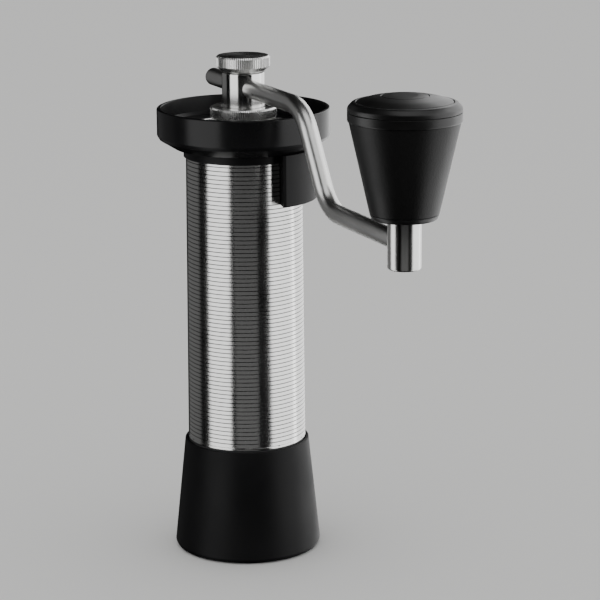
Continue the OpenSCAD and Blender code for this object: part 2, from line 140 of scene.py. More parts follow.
class GrinderStage(bpy.types.PropertyGroup):
    floor: colour("Floor", "Colour of the studio floor", (0.78, 0.78, 0.77))
    camera_distance: length("Camera distance", "Level distance from the axis to the camera", 1057.7 * MM)
    camera_height: length("Camera height", "Height of the camera over the table", 375.9 * MM)
    azimuth: FloatProperty(
        name="Azimuth", description="Direction that the camera looks in, 0 along +Y",
        default=radians(65.5), subtype="ANGLE",
    )
    pitch: FloatProperty(
        name="Pitch", description="How far the camera looks down", default=radians(13.86), subtype="ANGLE",
    )
    roll: FloatProperty(
        name="Roll", description="How far the camera leans", default=-0.0056, subtype="ANGLE",
    )
    side_step: length("Side step", "How far the camera stands to the right of the axis", 24.7 * MM)
    lens: FloatProperty(name="Lens", description="Focal length in millimetres", default=144, min=10)


SETTINGS = {
    "grinder_barrel": GrinderBarrel,
    "grinder_crank": GrinderCrank,
    "grinder_knurls": GrinderKnurls,
    "grinder_finish": GrinderFinish,
    "grinder_stage": GrinderStage,
}


# ---- Materials ----

class Shader:
    """A material with one Principled shader and small helpers that add nodes before it."""

    def __init__(self, name, base, roughness, metallic=0.0):
        self.material = bpy.data.materials.new(name)
        self.material.use_nodes = True
        self.nodes = self.material.node_tree.nodes
        self.links = self.material.node_tree.links
        self.surface = self.nodes["Principled BSDF"]
        self.surface.inputs["Base Color"].default_value = (*base, 1)
        self.surface.inputs["Roughness"].default_value = roughness
        self.surface.inputs["Metallic"].default_value = metallic
        self.base = base

    def place(self, scale=(1, 1, 1), centre=(0, 0, 0)):
        """Object coordinates, moved so that a piece's own axis is at the origin, then scaled."""
        coordinates = self.nodes.new("ShaderNodeTexCoord")
        shift = self.nodes.new("ShaderNodeVectorMath")
        shift.operation = "SUBTRACT"
        shift.inputs[1].default_value = centre
        stretch = self.nodes.new("ShaderNodeVectorMath")
        stretch.operation = "MULTIPLY"
        stretch.inputs[1].default_value = scale
        self.links.new(coordinates.outputs["Object"], shift.inputs[0])
        self.links.new(shift.outputs[0], stretch.inputs[0])
        return stretch.outputs[0]

    def noise(self, where, scale, detail=3.0, roughness=0.5):
        node = self.nodes.new("ShaderNodeTexNoise")
        node.inputs["Scale"].default_value = scale
        node.inputs["Detail"].default_value = detail
        node.inputs["Roughness"].default_value = roughness
        self.links.new(where, node.inputs["Vector"])
        return node.outputs["Fac"]

    def cells(self, where, scale):
        node = self.nodes.new("ShaderNodeTexVoronoi")
        node.inputs["Scale"].default_value = scale
        self.links.new(where, node.inputs["Vector"])
        return node.outputs["Distance"]

    def ranged(self, value, low, high, start=0.3, end=0.7):
        node = self.nodes.new("ShaderNodeMapRange")
        node.inputs["From Min"].default_value = start
        node.inputs["From Max"].default_value = end
        node.inputs["To Min"].default_value = low
        node.inputs["To Max"].default_value = high
        self.links.new(value, node.inputs["Value"])
        return node.outputs["Result"]

    def tint(self, value, low, high):
        """Blends two strengths of the base colour by a 0 to 1 value."""
        node = self.nodes.new("ShaderNodeMix")
        node.data_type = "RGBA"
        node.inputs["A"].default_value = (*[c * low for c in self.base], 1)
        node.inputs["B"].default_value = (*[min(1, c * high) for c in self.base], 1)
        self.links.new(value, node.inputs["Factor"])
        self.links.new(node.outputs["Result"], self.surface.inputs["Base Color"])

    def paint_groove_shade(self, shade, full_depth=0.4):
        """Paints shade into the grooves: darkens the colour where a piece's flutes or ribs carry their depth
        as an attribute.
        """
        sunk = self.nodes.new("ShaderNodeAttribute")
        sunk.attribute_name = "sunk"
        amount = self.ranged(sunk.outputs["Fac"], 1, shade, 0.05, full_depth)
        colour_in = self.surface.inputs["Base Color"]
        node = self.nodes.new("ShaderNodeVectorMath")
        node.operation = "SCALE"
        self.links.new(colour_in.links[0].from_socket, node.inputs[0])
        self.links.new(amount, node.inputs["Scale"])
        self.links.new(node.outputs[0], colour_in)

    def rough(self, value):
        self.links.new(value, self.surface.inputs["Roughness"])

    def bumps(self, value, depth, strength=1.0):
        node = self.nodes.new("ShaderNodeBump")
        node.inputs["Distance"].default_value = depth
        node.inputs["Strength"].default_value = strength
        before = self.surface.inputs["Normal"]
        if before.is_linked:
            self.links.new(before.links[0].from_socket, node.inputs["Normal"])
        self.links.new(value, node.inputs["Height"])
        self.links.new(node.outputs["Normal"], before)


_made = {}


def material(name):
    """The material of that name, made the first time it is asked for."""
    if name not in _made:
        _made[name] = MATERIALS[name]().material
    return _made[name]


def finish():
    return bpy.context.scene.grinder_finish


def turned_steel(name, roughness, spread, centre=(0, 0, 0), shade=1.0, line_depth=0.001):
    """Bare steel off a lathe: fine lines round the axis that smear its shine up and down."""
    base = [c * shade for c in finish().steel]
    steel = Shader(name, base, roughness, metallic=1)
    steel.surface.inputs["Anisotropic"].default_value = 0.8
    steel.surface.inputs["Anisotropic Rotation"].default_value = 0.25
    lines = steel.noise(steel.place((20, 20, 2600), centre), 1, detail=1)
    marks = steel.noise(steel.place((1, 1, 1), centre), 60, detail=4)
    steel.rough(steel.ranged(marks, roughness - spread, roughness + spread))
    steel.tint(steel.ranged(marks, 0, 1), 0.95, 1.04)
    steel.bumps(lines, line_depth * MM)
    return steel


def ribbed_steel():
    """Turned steel with painted shade darkening its rib grooves."""
    steel = turned_steel("Ribbed steel", 0.25, 0.02, shade=1.08)
    # Painted shade: the colour of the rib grooves is darkened.
    steel.paint_groove_shade(0.12)
    return steel


def polished_steel():
    return turned_steel("Polished steel", 0.2, 0.02, shade=1.15, line_depth=0.0006)


def post_steel():
    return turned_steel("Post steel", 0.3, 0.02, (CRANK_REACH, 0, 0), shade=1.12, line_depth=0.0006)


def bar_steel():
    """The crank bar, drawn and brushed along its length."""
    steel = Shader("Bar steel", [c * 1.0 for c in finish().steel], 0.3, metallic=1)
    marks = steel.noise(steel.place((0.5, 3, 0.5)), 120, detail=4)
    steel.rough(steel.ranged(marks, 0.27, 0.33))
    steel.tint(steel.ranged(marks, 0, 1), 0.96, 1.04)
    return steel


def knurled_steel():
    """Steel with painted shade in its flute grooves: the flutes carry their depth as an attribute."""
    steel = Shader("Knurled steel", finish().steel, 0.36, metallic=1)
    steel.surface.inputs["Anisotropic"].default_value = 0.3
    steel.surface.inputs["Anisotropic Rotation"].default_value = 0.25
    marks = steel.noise(steel.place(), 80, detail=4)
    steel.rough(steel.ranged(marks, 0.24, 0.3))
    steel.tint(steel.ranged(marks, 0, 1), 1.1, 1.25)
    # Painted shade: the colour of the flute grooves is darkened almost to black.
    steel.paint_groove_shade(0.01, full_depth=0.15)
    return steel


def inner_steel():
    return turned_steel("Inner steel", 0.35, 0.06, shade=0.85)


def race_steel():
    return turned_steel("Race steel", 0.18, 0.04, shade=1.0, line_depth=0.002)


def ball_steel():
    steel = Shader("Ball steel", [c * 1.2 for c in finish().steel], 0.06, metallic=1)
    marks = steel.noise(steel.place(), 900)
    steel.rough(steel.ranged(marks, 0.04, 0.09))
    return steel


def burr_steel():
    """Hardened steel with a faint grain and slightly darker patches."""
    steel = Shader("Burr steel", [c * 0.7 for c in finish().steel], 0.36, metallic=1)
    grain = steel.noise(steel.place(), 1600, detail=2)
    patches = steel.noise(steel.place(), 90)
    steel.rough(steel.ranged(patches, 0.3, 0.42))
    steel.tint(steel.ranged(patches, 0, 1), 0.85, 1.05)
    steel.bumps(grain, 0.006 * MM)
    return steel


def dark_steel():
    steel = Shader("Dark steel", (0.06, 0.06, 0.065), 0.4, metallic=1)
    grain = steel.noise(steel.place(), 1500)
    steel.rough(steel.ranged(grain, 0.35, 0.46))
    return steel


def machined_aluminium():
    return turned_steel("Machined aluminium", 0.38, 0.05, shade=1.1, line_depth=0.006)


def magnet_nickel():
    nickel = Shader("Magnet nickel", (0.66, 0.64, 0.6), 0.2, metallic=1)
    marks = nickel.noise(nickel.place(), 700)
    nickel.rough(nickel.ranged(marks, 0.16, 0.26))
    return nickel


def brass():
    metal = Shader("Brass", list(finish().brass), 0.3, metallic=1)
    marks = metal.noise(metal.place(), 400)
    metal.rough(metal.ranged(marks, 0.24, 0.38))
    metal.tint(metal.ranged(marks, 0, 1), 0.9, 1.05)
    return metal


def black_paint(name, roughness, grain_depth, shine=0.25):
    """Satin black paint with a very fine grain and a few softer patches."""
    paint = Shader(name, list(finish().black), roughness)
    paint.surface.inputs["Specular IOR Level"].default_value = shine
    paint.surface.inputs["Anisotropic"].default_value = 0.6
    paint.surface.inputs["Anisotropic Rotation"].default_value = 0.25
    grain = paint.noise(paint.place(), 2200, detail=2, roughness=0.6)
    patches = paint.noise(paint.place(), 45)
    paint.rough(paint.ranged(patches, roughness - 0.05, roughness + 0.06))
    paint.tint(paint.ranged(patches, 0, 1), 0.85, 1.2)
    paint.bumps(grain, grain_depth * MM)
    return paint


def hopper_paint():
    return black_paint("Hopper paint", 0.3, 0.006)


def collar_paint():
    return black_paint("Collar paint", 0.5, 0.008, shine=0.15)


def cup_paint():
    return black_paint("Cup paint", 0.55, 0.008, shine=0.14)


def knob_grain():
    """The knob's sleeve: a fine leathery grain moulded into black plastic."""
    plastic = Shader("Knob grain", list(finish().knob), 0.42)
    plastic.surface.inputs["Specular IOR Level"].default_value = 0.3
    centre = (CRANK_REACH, 0, 0)
    cells = plastic.cells(plastic.place(centre=centre), 1500)
    fine = plastic.noise(plastic.place(centre=centre), 3200, detail=2)
    patches = plastic.noise(plastic.place(centre=centre), 60)
    plastic.rough(plastic.ranged(patches, 0.39, 0.46))
    plastic.tint(plastic.ranged(cells, 0, 1, 0.1, 0.6), 1.25, 0.8)
    plastic.bumps(fine, 0.012 * MM)
    plastic.bumps(cells, 0.03 * MM)
    return plastic


def knob_satin():
    """The knob's band and cap: smoother plastic."""
    plastic = Shader("Knob satin", list(finish().knob), 0.36)
    plastic.surface.inputs["Specular IOR Level"].default_value = 0.45
    centre = (CRANK_REACH, 0, 0)
    fine = plastic.noise(plastic.place(centre=centre), 2600, detail=2)
    patches = plastic.noise(plastic.place(centre=centre), 70)
    plastic.rough(plastic.ranged(patches, 0.31, 0.42))
    plastic.tint(plastic.ranged(patches, 0, 1), 0.85, 1.15)
    plastic.bumps(fine, 0.008 * MM)
    return plastic


def moulded_plastic():
    plastic = Shader("Moulded plastic", (0.02, 0.02, 0.021), 0.5)
    grain = plastic.noise(plastic.place(), 1800)
    plastic.rough(plastic.ranged(grain, 0.44, 0.56))
    plastic.bumps(grain, 0.01 * MM)
    return plastic


def rubber():
    compound = Shader("Rubber", (0.022, 0.022, 0.022), 0.7)
    grain = compound.noise(compound.place(), 1400)
    compound.rough(compound.ranged(grain, 0.62, 0.8))
    compound.bumps(grain, 0.015 * MM)
    return compound


def studio_floor():
    floor = Shader("Studio floor", list(bpy.context.scene.grinder_stage.floor), 0.7)
    return floor


MATERIALS = {
    "ribbed_steel": ribbed_steel,
    "polished_steel": polished_steel,
    "post_steel": post_steel,
    "bar_steel": bar_steel,
    "knurled_steel": knurled_steel,
    "inner_steel": inner_steel,
    "race_steel": race_steel,
    "ball_steel": ball_steel,
    "burr_steel": burr_steel,
    "dark_steel": dark_steel,
    "machined_aluminium": machined_aluminium,
    "magnet_nickel": magnet_nickel,
    "brass": brass,
    "hopper_paint": hopper_paint,
    "collar_paint": collar_paint,
    "cup_paint": cup_paint,
    "knob_grain": knob_grain,
    "knob_satin": knob_satin,
    "moulded_plastic": moulded_plastic,
    "rubber": rubber,
    "studio_floor": studio_floor,
}


# ---- Shapes ----

def rounded(corners, steps=5):
    """An outline in (radius, height), millimetres. A corner's third number is its fillet radius."""
    points = []
    count = len(corners)
    for i, corner in enumerate(corners):
        fillet = corner[2] if len(corner) > 2 else 0
        here = Vector(corner[:2])
        if not fillet:
            points.append(here)
            continue
        back = (Vector(corners[i - 1][:2]) - here).normalized()
        ahead = (Vector(corners[(i + 1) % count][:2]) - here).normalized()
        half = back.angle(ahead) / 2
        cut = fillet / tan(half)
        centre = here + (back + ahead).normalized() * fillet / sin(half)
        first = here + back * cut - centre
        last = here + ahead * cut - centre
        turn = first.angle_signed(last)
        for k in range(steps + 1):
            arm = first.copy()
            arm.rotate(Matrix.Rotation(-turn * k / steps, 2))
            points.append(centre + arm)
    return points


def lathe(name, corners, centre_x=0.0, segments=ROUND, closed=False, steps=5):
    """Turns an outline about an upright axis. An open outline starts and ends on the axis."""
    outline = rounded(corners, steps)
    work = bmesh.new()
    rings = []
    for point in outline:
        radius, height = point.x * MM, point.y * MM
        if radius < 1e-7:
            rings.append([work.verts.new((centre_x, 0, height))])
            continue
        rings.append([
            work.verts.new((
                centre_x + radius * cos(2 * pi * k / segments),
                radius * sin(2 * pi * k / segments),
                height,
            ))
            for k in range(segments)
        ])
    pairs = list(zip(rings, rings[1:]))
    if closed:
        pairs.append((rings[-1], rings[0]))
    for lower, upper in pairs:
        for k in range(segments):
            n = (k + 1) % segments
            corners_of_face = []
            for ring, index in ((lower, k), (lower, n), (upper, n), (upper, k)):
                vert = ring[index % len(ring)]
                if vert not in corners_of_face:
                    corners_of_face.append(vert)
            if len(corners_of_face) > 2:
                work.faces.new(corners_of_face)
    return to_object(name, work)


def to_object(name, work, smooth_angle=38):
    """A finished mesh object at the origin, with its faces pointing outwards."""
    bmesh.ops.remove_doubles(work, verts=work.verts, dist=1e-7)
    bmesh.ops.recalc_face_normals(work, faces=work.faces)
    mesh = bpy.data.meshes.new(name)
    work.to_mesh(mesh)
    work.free()
    piece = bpy.data.objects.new(name, mesh)
    bpy.context.scene.collection.objects.link(piece)
    smooth(piece, smooth_angle)
    return piece


def smooth(piece, angle):
    """Smooth shading that breaks at edges sharper than the angle."""
    mesh = piece.data
    mesh.polygons.foreach_set("use_smooth", [True] * len(mesh.polygons))
    mesh.set_sharp_from_angle(angle=radians(angle))


def cad_copy(name, node, bevel=0.0, angle=35):
    """A merged copy of a CAD node's mesh, with its sharp edges softened."""
    work = bmesh.new()
    work.from_mesh(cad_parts[node].data)
    bmesh.ops.remove_doubles(work, verts=work.verts, dist=2e-6)
    bmesh.ops.dissolve_degenerate(work, edges=work.edges, dist=1e-6)
    bmesh.ops.dissolve_limit(work, angle_limit=radians(0.5), verts=work.verts, edges=work.edges)
    piece = to_object(name, work)
    if bevel:
        cut = piece.modifiers.new("Soft edges", "BEVEL")
        cut.width = bevel
        cut.segments = 3
        cut.limit_method = "ANGLE"
        cut.angle_limit = radians(angle)
        cut.harden_normals = False
    return piece


def drill(piece, radius, start, end, segments=64):
    """Cuts a round hole from start to end."""
    axis = Vector(end) - Vector(start)
    turn = Vector((0, 0, 1)).rotation_difference(axis)
    work = bmesh.new()
    matrix = Matrix.Translation((Vector(start) + Vector(end)) / 2) @ turn.to_matrix().to_4x4()
    bmesh.ops.create_cone(
        work, cap_ends=True, segments=segments, radius1=radius, radius2=radius,
        depth=axis.length, matrix=matrix,
    )
    cutter = to_object(piece.name + " cutter", work)
    cut = piece.modifiers.new("Hole", "BOOLEAN")
    cut.object = cutter
    cut.operation = "DIFFERENCE"
    cut.solver = "EXACT"
    bake(piece)
    bpy.data.objects.remove(cutter)
    smooth(piece, 38)


def bake(piece):
    """Turns what a piece's modifiers make into its own plain mesh, and drops the modifiers."""
    graph = bpy.context.evaluated_depsgraph_get()
    graph.update()
    made = bpy.data.meshes.new_from_object(piece.evaluated_get(graph))
    old = piece.data
    piece.modifiers.clear()
    piece.data = made
    made.name = piece.name
    bpy.data.meshes.remove(old)


def paint(piece, name):
    piece.data.materials.clear()
    piece.data.materials.append(material(name))


def fit(piece, finish_name, body, slot_name, *nodes):
    """Paints a new piece, mounts it on its body, and lets it stand for its CAD nodes."""
    paint(piece, finish_name)
    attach(piece, body)
    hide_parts(*nodes)
    return piece


def dress(finish_name, *nodes):
    """Gives CAD nodes that keep their own shape a detailed material."""
    for node in nodes:
        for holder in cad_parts[node].material_slots:
            holder.material = material(finish_name)


# ---- Geometry Nodes ----

class Tree:
    """A Geometry Nodes tree with named inputs, and short calls that add to it."""

    def __init__(self, name, inputs):
        self.group = bpy.data.node_groups.new(name, "GeometryNodeTree")
        face = self.group.interface
        face.new_socket("Geometry", in_out="INPUT", socket_type="NodeSocketGeometry")
        face.new_socket("Geometry", in_out="OUTPUT", socket_type="NodeSocketGeometry")
        self.sockets = {}
        for label, kind in inputs.items():
            made = face.new_socket(label, in_out="INPUT", socket_type="NodeSocket" + kind)
            self.sockets[label] = made.identifier
        self.start = self.group.nodes.new("NodeGroupInput")
        self.end = self.group.nodes.new("NodeGroupOutput")

    def value(self, label):
        return self.start.outputs[label]

    def feed(self, socket, value):
        if isinstance(value, bpy.types.NodeSocket):
            self.group.links.new(value, socket)
        else:
            socket.default_value = value

    def add(self, kind, *values, setup=None, output=0, **named):
        """A node whose inputs are given in order or by name, and its chosen output."""
        node = self.group.nodes.new(kind)
        for key, value in (setup or {}).items():
            setattr(node, key, value)
        for index, value in enumerate(values):
            if value is not None:
                self.feed(node.inputs[index], value)
        for key, value in named.items():
            self.feed(node.inputs[key.replace("_", " ")], value)
        return node.outputs[output]

    def math(self, operation, *values):
        return self.add("ShaderNodeMath", *values, setup={"operation": operation})

    def close(self, geometry, finish_name):
        """Realizes what was made, sets its material and joins it to the tree's output."""
        whole = self.add("GeometryNodeRealizeInstances", geometry)
        painted = self.add("GeometryNodeSetMaterial", whole, Material=material(finish_name))
        self.group.links.new(painted, self.end.inputs[0])

    def run(self, piece, values):
        """Runs the tree on a piece and leaves its result as the piece's own mesh."""
        modifier = piece.modifiers.new(self.group.name, "NODES")
        modifier.node_group = self.group
        for label, value in values.items():
            modifier[self.sockets[label]] = value
        bake(piece)
        return piece


def flute_tree(finish_name):
    """Cuts straight flutes down a turned rim: no point stands further out than the flute allows."""
    tree = Tree("Flutes " + finish_name, {"Flutes": "Int", "Rim radius": "Float", "Depth": "Float"})
    position = tree.add("GeometryNodeInputPosition")
    split = tree.group.nodes.new("ShaderNodeSeparateXYZ")
    tree.group.links.new(position, split.inputs[0])
    x, y, z = split.outputs
    angle = tree.math("ARCTAN2", y, x)
    turns = tree.math("DIVIDE", angle, 2 * pi)
    phase = tree.math("FRACT", tree.math("ADD", tree.math("MULTIPLY", turns, tree.value("Flutes")), 1000.0))
    ridge = tree.math("ABSOLUTE", tree.math("SUBTRACT", phase, 0.5))
    slope = tree.math("MULTIPLY", ridge, 3.4)
    groove = tree.math("SUBTRACT", 1.0, tree.math("MINIMUM", slope, 1.0))
    cut_depth = tree.math("MULTIPLY", groove, tree.value("Depth"))
    limit = tree.math("SUBTRACT", tree.value("Rim radius"), cut_depth)
    radius = tree.math("SQRT", tree.math("ADD", tree.math("MULTIPLY", x, x), tree.math("MULTIPLY", y, y)))
    share = tree.math("DIVIDE", tree.math("MINIMUM", radius, limit), tree.math("MAXIMUM", radius, 1e-6))
    place = tree.add(
        "ShaderNodeCombineXYZ", tree.math("MULTIPLY", x, share), tree.math("MULTIPLY", y, share), z)
    cut = tree.add("GeometryNodeSetPosition", tree.start.outputs[0], Position=place)
    taken_off = tree.math("SUBTRACT", radius, tree.math("MINIMUM", radius, limit))
    sunk = tree.math("DIVIDE", taken_off, tree.value("Depth"))
    # The depth taken off is kept as "sunk", where the knurled steel paints shade into the grooves.
    marked = tree.add("GeometryNodeStoreNamedAttribute", cut, Name="sunk", Value=sunk)
    tree.close(marked, finish_name)
    return tree


def rib_tree(finish_name):
    """One long outline of flat ribs and sharp grooves, leaning out downwards, swept round the axis."""
    tree = Tree("Barrel ribs", {
        "Ribs": "Int", "Pitch": "Float", "Depth": "Float", "Start": "Float",
        "Bottom radius": "Float", "Top radius": "Float", "Points a rib": "Int", "Segments": "Int",
    })
    count = tree.math("ADD", tree.math("MULTIPLY", tree.value("Ribs"), tree.value("Points a rib")), 1.0)
    step = tree.math("DIVIDE", tree.value("Pitch"), tree.value("Points a rib"))
    offset = tree.add("ShaderNodeCombineXYZ", 0.0, step, 0.0)
    line = tree.add("GeometryNodeMeshLine", setup={"mode": "OFFSET"}, Count=count, Offset=offset)
    index = tree.add("GeometryNodeInputIndex")
    along = tree.math("DIVIDE", index, tree.value("Points a rib"))
    phase = tree.math("FRACT", along)
    # From 0 at the bottom of the groove to 1 on the flat crest: a fifth of the pitch is groove
    spread = tree.math("ABSOLUTE", tree.math("SUBTRACT", tree.math("MULTIPLY", phase, 2.0), 1.0))
    crest = tree.math("MINIMUM", tree.math("MULTIPLY", tree.math("SUBTRACT", 1.0, spread), 5.0), 1.0)
    share = tree.math("DIVIDE", along, tree.value("Ribs"))
    spread = tree.math("SUBTRACT", tree.value("Top radius"), tree.value("Bottom radius"))
    lean = tree.math("MULTIPLY", share, spread)
    sink = tree.math("MULTIPLY", tree.math("SUBTRACT", crest, 1.0), tree.value("Depth"))
    out = tree.math("ADD", lean, sink)
    height = tree.math("ADD", tree.math("MULTIPLY", along, tree.value("Pitch")), tree.value("Start"))
    # The sweep turns an outline's Y downwards
    place = tree.add("ShaderNodeCombineXYZ", out, tree.math("MULTIPLY", height, -1.0), 0.0)
    outline = tree.add("GeometryNodeSetPosition", line, Position=place)
    sunk = tree.math("SUBTRACT", 1.0, crest)
    # The groove depth is kept as "sunk", where the steel paints shade into the grooves.
    marked = tree.add("GeometryNodeStoreNamedAttribute", outline, Name="sunk", Value=sunk)
    profile = tree.add("GeometryNodeMeshToCurve", marked)
    ring = tree.add(
        "GeometryNodeCurvePrimitiveCircle",
        Resolution=tree.value("Segments"), Radius=tree.value("Bottom radius"))
    swept = tree.add("GeometryNodeCurveToMesh", ring, profile)
    tree.close(swept, finish_name)
    return tree


def bar_tree(finish_name):
    """A round bar along the points of a path, with its corners bent to a radius."""
    tree = Tree("Bent bar", {"Radius": "Float", "Bend radius": "Float"})
    path = tree.add("GeometryNodeMeshToCurve", tree.start.outputs[0])
    bent = tree.add(
        "GeometryNodeFilletCurve", path,
        setup={"mode": "POLY"}, Count=20, Radius=tree.value("Bend radius"))
    ring = tree.add("GeometryNodeCurvePrimitiveCircle", Resolution=48, Radius=tree.value("Radius"))
    tube = tree.add("GeometryNodeCurveToMesh", bent, ring, Fill_Caps=True)
    shaded = tree.add("GeometryNodeSetShadeSmooth", tube)
    tree.close(shaded, finish_name)
    return tree


def ball_tree(finish_name):
    """Balls set on the points of a mesh."""
    tree = Tree("Bearing balls", {"Ball radius": "Float"})
    points = tree.add("GeometryNodeMeshToPoints", tree.start.outputs[0])
    ball = tree.add("GeometryNodeMeshUVSphere", Segments=32, Rings=16, Radius=tree.value("Ball radius"))
    smooth_ball = tree.add("GeometryNodeSetShadeSmooth", ball)
    placed = tree.add("GeometryNodeInstanceOnPoints", points, Instance=smooth_ball)
    tree.close(placed, finish_name)
    return tree


def point_object(name, points, edges=()):
    """A mesh of bare points, or of points joined by edges, for a tree to work on."""
    mesh = bpy.data.meshes.new(name)
    mesh.from_pydata([tuple(p) for p in points], list(edges), [])
    piece = bpy.data.objects.new(name, mesh)
    bpy.context.scene.collection.objects.link(piece)
    return piece


def recalculated(piece):
    """Merges a piece's doubles and points its faces outwards."""
    work = bmesh.new()
    work.from_mesh(piece.data)
    bmesh.ops.remove_doubles(work, verts=work.verts, dist=1e-7)
    bmesh.ops.recalc_face_normals(work, faces=work.faces)
    work.to_mesh(piece.data)
    work.free()


def joined(name, pieces):
    """One object out of several that share a finish."""
    work = bmesh.new()
    for piece in pieces:
        work.from_mesh(piece.data)
        bpy.data.objects.remove(piece)
    mesh = bpy.data.meshes.new(name)
    work.to_mesh(mesh)
    work.free()
    whole = bpy.data.objects.new(name, mesh)
    bpy.context.scene.collection.objects.link(whole)
    return whole


# ---- Operators ----

class GRINDER_OT_stage(bpy.types.Operator):
    """Sets up the pale floor, the soft lights and the camera"""

    bl_idname = "grinder.stage"
    bl_label = "Studio"

    def execute(self, context):
        settings = context.scene.grinder_stage
        floor = make_floor()
        make_world(context.scene)
        make_camera(context.scene, settings)
        shy = bpy.data.collections.new("Left to the room light")
        shy.objects.link(floor)
        shy.collection_objects[0].light_linking.link_state = "EXCLUDE"
        for box in SOFTBOXES:
            make_softbox(settings, shy, *box)
        return {"FINISHED"}


# Name, degrees to the camera's right, metres away, lowest, highest, width, brightness
SOFTBOXES = (
    ("Left card", -50, 0.23, -0.16, 0.36, 0.19, 2.0),
    ("Right window low", 82, 0.58, -0.4, 0.06, 0.72, 2.2),
    ("Right window high", 80, 0.62, 0.06, 0.9, 0.74, 2.3),
    ("Back right window", 137, 0.66, -0.4, 0.9, 0.8, 2.0),
    ("Front sheet", 3, 1.5, -1.1, -0.1, 1.25, 0.2),
    ("Back left sheet", -126, 0.8, -0.4, 0.7, 0.8, 0.15),
    ("Top sheet", 20, 0.5, 1.2, 1.2, 0.9, 1.4),
)


def make_floor():
    mesh = bpy.data.meshes.new("Studio floor")
    half = 4
    corners = [(-half, -half), (half, -half), (half, half), (-half, half)]
    mesh.from_pydata([(x, y, cad_low.z) for x, y in corners], [], [(0, 1, 2, 3)])
    floor = bpy.data.objects.new("Studio floor", mesh)
    bpy.context.scene.collection.objects.link(floor)
    paint(floor, "studio_floor")
    # Polished parts mirror the lamps and the dark room, and not the floor under them
    floor.visible_glossy = False
    return floor


def make_world(scene):
    world = bpy.data.worlds.new("Studio air")
    world.use_nodes = True
    air = world.node_tree.nodes["Background"]
    air.inputs["Color"].default_value = (0.9, 0.9, 0.9, 1)
    air.inputs["Strength"].default_value = 1.05
    world.cycles_visibility.glossy = False
    scene.world = world


def make_camera(scene, settings):
    ahead = Vector((-sin(settings.azimuth), cos(settings.azimuth), 0))
    right = Vector((ahead.y, -ahead.x, 0))
    data = bpy.data.cameras.new("Camera")
    data.lens = settings.lens
    data.sensor_width = 36
    data.clip_end = 50
    camera = bpy.data.objects.new("Camera", data)
    turn = Matrix.Rotation(settings.azimuth, 4, "Z") @ Matrix.Rotation(pi / 2 - settings.pitch, 4, "X")
    place = right * settings.side_step - ahead * settings.camera_distance
    place.z = settings.camera_height
    camera.matrix_world = Matrix.Translation(place) @ turn @ Matrix.Rotation(settings.roll, 4, "Z")
    scene.collection.objects.link(camera)
    scene.camera = camera


def make_softbox(settings, shy, name, turn, distance, low, high, width, brightness):
    """A lamp that lights and shows in the metal, but leaves the floor to the room's own light."""
    bearing = settings.azimuth + radians(turn)
    tall = high - low if high > low else width
    data = bpy.data.lights.new(name, "AREA")
    data.shape = "RECTANGLE"
    data.size = width
    data.size_y = tall
    data.energy = brightness * pi * width * tall
    lamp = bpy.data.objects.new(name, data)
    lamp.visible_camera = False
    lamp.light_linking.receiver_collection = shy
    place = Vector((sin(bearing) * distance, -cos(bearing) * distance, (low + high) / 2))
    aim = Vector((0, 0, place.z if high > low else 0.1)) - place
    lamp.matrix_world = Matrix.Translation(place) @ aim.to_track_quat("-Z", "Y").to_matrix().to_4x4()
    bpy.context.scene.collection.objects.link(lamp)


class GRINDER_OT_barrel(bpy.types.Operator):
    """Builds the ribbed steel barrel"""

    bl_idname = "grinder.barrel"
    bl_label = "Barrel"

    def execute(self, context):
        settings = context.scene.grinder_barrel
        foot, top = (corner.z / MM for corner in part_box("body_tube"))
        start = foot + 1.2
        end = start + settings.rib_count * settings.rib_pitch / MM
        lower = (settings.bottom_radius - settings.rib_depth) / MM
        upper = (settings.top_radius - settings.rib_depth) / MM
        seat, bore = 24, 23.2
        ribs = point_object("Ribs", [(0, 0, 0)])
        rib_tree("ribbed_steel").run(ribs, {
            "Ribs": settings.rib_count, "Pitch": settings.rib_pitch, "Depth": settings.rib_depth,
            "Start": start * MM, "Bottom radius": settings.bottom_radius,
            "Top radius": settings.top_radius, "Points a rib": 10, "Segments": 120,
        })
        tube = lathe("Tube", [
            (lower, start), (settings.bottom_radius / MM, start - 0.4),
            (settings.bottom_radius / MM, foot, 0.25),
            (seat, foot, 0.25), (seat, 90), (bore, 90), (bore, 187), (seat, 187),
            (seat, top, 0.3), (25.6, top, 0.4), (25.6, end + 0.1), (upper, end),
        ])
        barrel = joined("barrel_tube", [ribs, tube])
        recalculated(barrel)
        smooth(barrel, 50)
        fit(barrel, "ribbed_steel", "housing", "ribbed_steel", "body_tube")
        return {"FINISHED"}


class GRINDER_OT_hopper(bpy.types.Operator):
    """Builds the hopper ring with its funnel, and the collar with the thumb rest"""

    bl_idname = "grinder.hopper"
    bl_label = "Hopper and collar"

    def execute(self, context):
        foot, top = (corner.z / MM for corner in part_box("hopper_rim"))
        low = low_z("hopper_funnel") / MM
        radius = radius_of("hopper_rim") / MM
        wall = 1.9
        rim = lathe("hopper_ring", [
            (radius - wall, foot), (radius - 1, foot, 0.2), (radius, foot + 1.7, 0.5),
            (radius, top, 0.75), (radius - wall, top, 0.35),
        ], closed=True, segments=200)
        fit(rim, "hopper_paint", "housing", "hopper_black", "hopper_rim")
        bore = radius - wall - 0.01
        funnel = lathe("hopper_floor", [
            (27.01, low), (31.2, low, 0.3), (radius - 1.2, foot - 0.06, 0.05), (bore, foot),
            (bore, foot + 6.8), (bore - 1.5, foot + 5.3, 1), (27.6, foot + 4.3),
            (25.61, foot + 4.1, 0.1), (25.61, foot - 0.1), (27.01, foot - 0.1),
        ], closed=True, segments=200)
        fit(funnel, "hopper_paint", "housing", "hopper_black", "hopper_funnel")
        collar = cad_copy("thumb_collar_body", "thumb_collar", bevel=0.8 * MM)
        fit(collar, "collar_paint", "housing", "black_collar", "thumb_collar")
        dress("rubber", "collar_o_ring")
        return {"FINISHED"}


